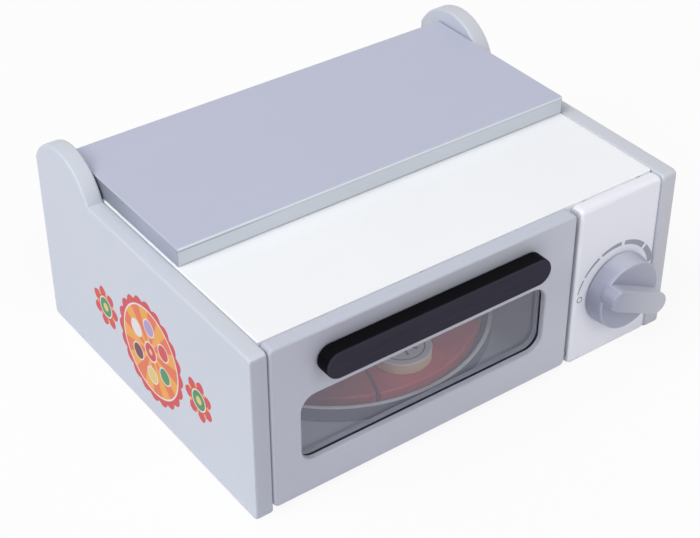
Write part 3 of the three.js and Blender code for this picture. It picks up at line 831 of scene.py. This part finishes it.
def turned(node, profile, material, edge, steps):
    """Turns a piece with rounded edges about its solid's upright middle line, in place of the solid."""
    low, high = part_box(node)
    form = bmesh.new()
    lathe(form, profile, middle_at(low, high, "z", low.z), UP, RIGHT, steps)
    sealed(form)
    round_edges(placed_piece(f"{node}_turned", form, material, BODY_OF[node], node), edge)


def softened(node, material):
    """A copy of a board whose small roundings shade smoothly, in place of the faceted solid."""
    form = bmesh.new()
    form.from_mesh(frame["nodes"][node].data)
    bmesh.ops.remove_doubles(form, verts=form.verts[:], dist=MERGE)
    piece = placed_piece(f"{node}_smooth", form, material, BODY_OF[node], node)
    mesh = piece.data
    if "custom_normal" in mesh.attributes:
        mesh.attributes.remove(mesh.attributes["custom_normal"])
    mesh.set_sharp_from_angle(angle=math.radians(50))
    weighted = piece.modifiers.new("Even faces", "WEIGHTED_NORMAL")
    weighted.mode = "FACE_AREA"
    weighted.weight = 100
    weighted.keep_sharp = True


def dress(node, material):
    """Gives a solid that stays its material."""
    mesh = frame["nodes"][node].data
    mesh.materials.clear()
    mesh.materials.append(material)


class TOYOVEN_OT_boards(bpy.types.Operator):
    """Paint the boards of the cabinet, the door and the lid"""

    bl_idname = "toy_oven.boards"
    bl_label = "Painted boards"

    def execute(self, context):
        oven = context.scene.toy_oven
        paint = oven.paint
        skin = (0.5 * MM, 0.4 * MM)
        # Painted highlight on the sides' narrow edges and painted shade on their front edges.
        left_light = (("rim", paint.left_rim, *skin), ("front", paint.left_front, *skin))
        right_light = (("rim", paint.right_rim, *skin), ("front", paint.right_front, *skin))
        softened("left_side_panel", pictured("Printed side", paint.grey, oven.picture, left_light))
        paint_board("right_side_panel", "Grey side", paint.grey, GRAIN_Y, right_light)
        paint_board("top_panel", "White top", paint.white)
        paint_board("base_panel", "Grey base", paint.grey)
        # Painted shade on the control panel's left side, in the gap beside the door.
        gap_shade = (("left", shade(paint.panel, 0.6), *skin),)
        paint_board("control_panel", "White control panel", paint.panel, GRAIN_Z, gap_shade)
        softened("lid_board", lidded("Lilac lid", paint))
        # Painted light on the door: lighter toward its right end and along its upper edge.
        low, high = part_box("door_frame")
        width = high.x - low.x
        door_light = (("right", paint.door_right, width / 2, width), ("top", paint.door_top, *skin))
        paint_board("door_frame", "Grey door", paint.door, faces=door_light)
        paint_board("pane_retainer", "Grey ring", paint.grey)
        dress("back_panel", grained("Back board", paint.board))
        return {"FINISHED"}


class TOYOVEN_OT_door(bpy.types.Operator):
    """Make the door's handle and its clear pane"""

    bl_idname = "toy_oven.door"
    bl_label = "Handle and pane"

    def execute(self, context):
        oven = context.scene.toy_oven
        paint = oven.paint
        low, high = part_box("door_handle")
        width, depth, height = high - low
        form = bmesh.new()
        bar(form, middle_at(low, high, "y", high.y), width, height, depth, turn=0, sides=72)
        sealed(form)
        material = stained("Dark stain", paint.handle, paint.handle_front, low.y, 0.9 * MM)
        round_edges(placed_piece("door_handle_bar", form, material, "door", "door_handle"), 1.3 * MM)
        dress("door_window", clear("Clear pane", oven.pane))
        return {"FINISHED"}


class TOYOVEN_OT_knob(bpy.types.Operator):
    """Make the knob: a tapered skirt with a bar across it"""

    bl_idname = "toy_oven.knob"
    bl_label = "Knob"

    def execute(self, context):
        oven = context.scene.toy_oven
        look = oven.knob
        centre = middle_at(KNOB_LOW, KNOB_HIGH, "y", KNOB_HIGH.y)
        back_radius = (KNOB_HIGH.z - KNOB_LOW.z) / 2
        radius = back_radius - look.skirt_taper
        thickness = look.skirt_depth - (KNOB_HIGH.y - PANEL_LOW.y)
        form = bmesh.new()
        profile = [(0, 0), (back_radius, 0), (radius, thickness), (0, thickness)]
        lathe(form, profile, centre, FORWARD, RIGHT, steps=96)
        start = centre + FORWARD * (thickness - look.grip_root)
        depth = start.y - KNOB_LOW.y
        bar(form, start, look.grip_length, look.grip_width, depth, look.grip_turn, sides=56)
        sealed(form)
        front = centre.y - thickness
        material = knobbed("Knob paint", oven.paint, centre, radius, front, look.grip_length)
        round_edges(placed_piece("knob_turned", form, material, "knob", "knob"), look.edge)
        return {"FINISHED"}


class TOYOVEN_OT_dial(bpy.types.Operator):
    """Print the scale round the knob"""

    bl_idname = "toy_oven.dial"
    bl_label = "Dial marks"

    def execute(self, context):
        look = context.scene.toy_oven.dial
        centre = middle_at(KNOB_LOW, KNOB_HIGH, "y", PANEL_LOW.y)
        form = bmesh.new()
        # Each pair is where one arc ends and where the next one starts, in degrees.
        breaks = ((150.4, 146.7), (120.1, 116), (86, 81), (45.5, 41))
        starts = [look.start, *(math.radians(later) for _, later in breaks)]
        ends = [*(math.radians(earlier) for earlier, _ in breaks), look.end]
        for start, end in zip(starts, ends):
            side = Vector((math.cos(start), 0, math.sin(start)))
            band(form, centre, side, look.outer - look.thin, look.outer, end - start, steps=16)
        for point in form.verts:
            spoke = point.co - centre
            if spoke.length < look.outer - look.thin / 2:
                along = (look.start - math.atan2(spoke.z, spoke.x)) / (look.start - look.end)
                width = look.thin + (look.thick - look.thin) * along
                point.co = centre + spoke.normalized() * (look.outer - width)
        side = Vector((math.cos(look.ring_turn), 0, math.sin(look.ring_turn)))
        hub = centre + side * look.ring_reach
        inner = look.ring_radius - look.ring_line
        band(form, hub, side, inner, look.ring_radius, math.tau, steps=32)
        bmesh.ops.recalc_face_normals(form, faces=form.faces[:])
        raised(form, form.faces[:], FORWARD * look.film)
        sealed(form)
        finish = new_finish("Dial ink")
        speck = finish.noise(finish.place(), scale=1200, detail=3)
        base = finish.mix(speck, shade(look.ink, 0.92), shade(look.ink, 1.06))
        material = finish.surface(base_color=base, roughness=speck * 0.1 + 0.45)
        piece = placed_piece("dial_marks", form, material, "cabinet")
        piece.data.set_sharp_from_angle(angle=math.radians(30))
        return {"FINISHED"}


class TOYOVEN_OT_food(bpy.types.Operator):
    """Make the tray, the play slices and their toppings"""

    bl_idname = "toy_oven.food"
    bl_label = "Tray and play food"

    def execute(self, context):
        oven = context.scene.toy_oven
        look = oven.food
        low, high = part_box("pizza_tray")
        radius = (high.x - low.x) / 2
        height = high.z - low.z
        floor = look.tray_floor
        inner = radius - look.rim_width
        profile = [(0, 0), (radius, 0), (radius, height), (inner, height), (inner, floor), (0, floor)]
        material = rimmed("Tray paint", look.tray, look.tray_rim, high.z - 0.3 * MM)
        turned("pizza_tray", profile, material, look.edge, steps=128)
        sauce = sauced("Tomato paint", look.tomato, look.baked)
        for number in range(1, 5):
            softened(f"pizza_slice_{number}", sauce)
            node = f"pizza_topping_{number}"
            low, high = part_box(node)
            radius = (high.x - low.x) / 2
            height = high.z - low.z
            profile = [(0, 0), (radius, 0), (radius, height), (0, height)]
            material = topped(f"Topping {number}", node, oven.paint.wood, look.topping, look.seed)
            turned(node, profile, material, look.edge, steps=64)
        return {"FINISHED"}


class TOYOVEN_OT_fasteners(bpy.types.Operator):
    """Finish the dowels, screws, pins and magnet"""

    bl_idname = "toy_oven.fasteners"
    bl_label = "Dowels and screws"

    def execute(self, context):
        paint = context.scene.toy_oven.paint
        wood = grained("Dowel wood", paint.wood)
        for node, slot in SLOT_OF.items():
            if slot == "bare_wood" and "dowel" in node:
                dress(node, wood)
        steel = [node for node, slot in SLOT_OF.items() if slot == "steel"]
        for word in SCREWS:
            screws = [node for node in steel if node.startswith(word)]
            centres = [(low + high) / 2 for low, high in map(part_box, screws)]
            middle = sum(centres, Vector()) / len(centres)
            spread = (abs(centres[0].x - middle.x), abs(centres[0].z - middle.z))
            material = brushed(f"Steel of {word}", paint.steel, (middle.x, middle.z), spread)
            for node in screws:
                dress(node, material)
        pin_steel = brushed("Pin steel", paint.steel, FAR_OFF, (0, 0))
        for node in steel:
            if not node.startswith(SCREWS):
                dress(node, pin_steel)
        return {"FINISHED"}


class TOYOVEN_OT_stage(bpy.types.Operator):
    """Set up the floor, the light and the camera"""

    bl_idname = "toy_oven.stage"
    bl_label = "Stage"

    def execute(self, context):
        look = context.scene.toy_oven.stage
        scene = context.scene
        form = bmesh.new()
        bmesh.ops.create_grid(form, x_segments=2, y_segments=2, size=look.floor_reach)
        bmesh.ops.translate(form, verts=form.verts[:], vec=UP * -look.floor_drop)
        mesh = bpy.data.meshes.new("floor")
        form.to_mesh(mesh)
        form.free()
        floor = bpy.data.objects.new("floor", mesh)
        scene.collection.objects.link(floor)
        finish = new_finish("Pale floor")
        tone = finish.mix(finish.noise(finish.place(), scale=3), shade(look.floor, 0.99), look.floor)
        matte = finish.add("ShaderNodeBsdfDiffuse", inputs={"Color": tone})
        glow = finish.add("ShaderNodeEmission", inputs={"Color": (1, 1, 1, 1), "Strength": 1.0})
        factor = finish.seen() * look.floor_glow
        both = finish.add("ShaderNodeMixShader", inputs={0: factor, 1: matte, 2: glow})
        mesh.materials.append(finish.shown(both))

        scene.world = bpy.data.worlds.new("Studio")
        sky = Nodes(scene.world, "ShaderNodeOutputWorld")
        level = sky.seen() * (1 - look.sky) + look.sky
        sky.shown(sky.add("ShaderNodeBackground", inputs={"Color": (1, 1, 1, 1), "Strength": level}))

        lamps = (("Key lamp", look.key, look.key_from), ("Fill lamp", look.fill, look.fill_from))
        for name, power, direction in lamps:
            light = bpy.data.lights.new(name, "AREA")
            light.energy = power
            light.size = look.lamp_size
            lamp = bpy.data.objects.new(name, light)
            direction = Vector(direction).normalized()
            lamp.location = direction * look.lamp_distance
            lamp.rotation_euler = direction.to_track_quat("Z", "Y").to_euler()
            scene.collection.objects.link(lamp)

        view = bpy.data.cameras.new("Camera")
        view.lens = look.lens
        view.sensor_width = look.sensor
        camera = bpy.data.objects.new("Camera", view)
        camera.location = look.camera
        camera.rotation_euler = look.camera_turn
        scene.collection.objects.link(camera)
        scene.camera = camera
        scene.view_settings.view_transform = "Standard"
        return {"FINISHED"}


STEPS = (
    TOYOVEN_OT_boards, TOYOVEN_OT_door, TOYOVEN_OT_knob, TOYOVEN_OT_dial, TOYOVEN_OT_food,
    TOYOVEN_OT_fasteners, TOYOVEN_OT_stage)


class TOYOVEN_PT_panel(bpy.types.Panel):
    """Lists the steps that build the toy oven, and its settings"""

    bl_idname = "TOYOVEN_PT_panel"
    bl_label = "Toy oven"
    bl_space_type = "VIEW_3D"
    bl_region_type = "UI"
    bl_category = "Toy oven"

    def draw(self, context):
        for step in STEPS:
            self.layout.operator(step.bl_idname)
        oven = context.scene.toy_oven
        for group in OvenSettings.__annotations__:
            box = self.layout.box()
            box.label(text=group.title())
            settings = getattr(oven, group)
            for name in type(settings).__annotations__:
                box.prop(settings, name)


CLASSES = (
    PaintSettings, KnobSettings, DialSettings, PictureSettings, PaneSettings, FoodSettings, StageSettings,
    OvenSettings, *STEPS, TOYOVEN_PT_panel)


def register():
    """Adds the settings, the steps and the panel."""
    for item in CLASSES:
        bpy.utils.register_class(item)
    bpy.types.Scene.toy_oven = PointerProperty(type=OvenSettings)


def unregister():
    """Takes them out again."""
    del bpy.types.Scene.toy_oven
    for item in reversed(CLASSES):
        bpy.utils.unregister_class(item)


def main():
    """Builds the oven's looks and the stage."""
    register()
    bpy.ops.toy_oven.boards()
    bpy.ops.toy_oven.door()
    bpy.ops.toy_oven.knob()
    bpy.ops.toy_oven.dial()
    bpy.ops.toy_oven.food()
    bpy.ops.toy_oven.fasteners()
    bpy.ops.toy_oven.stage()


if __name__ == "__main__":
    main()
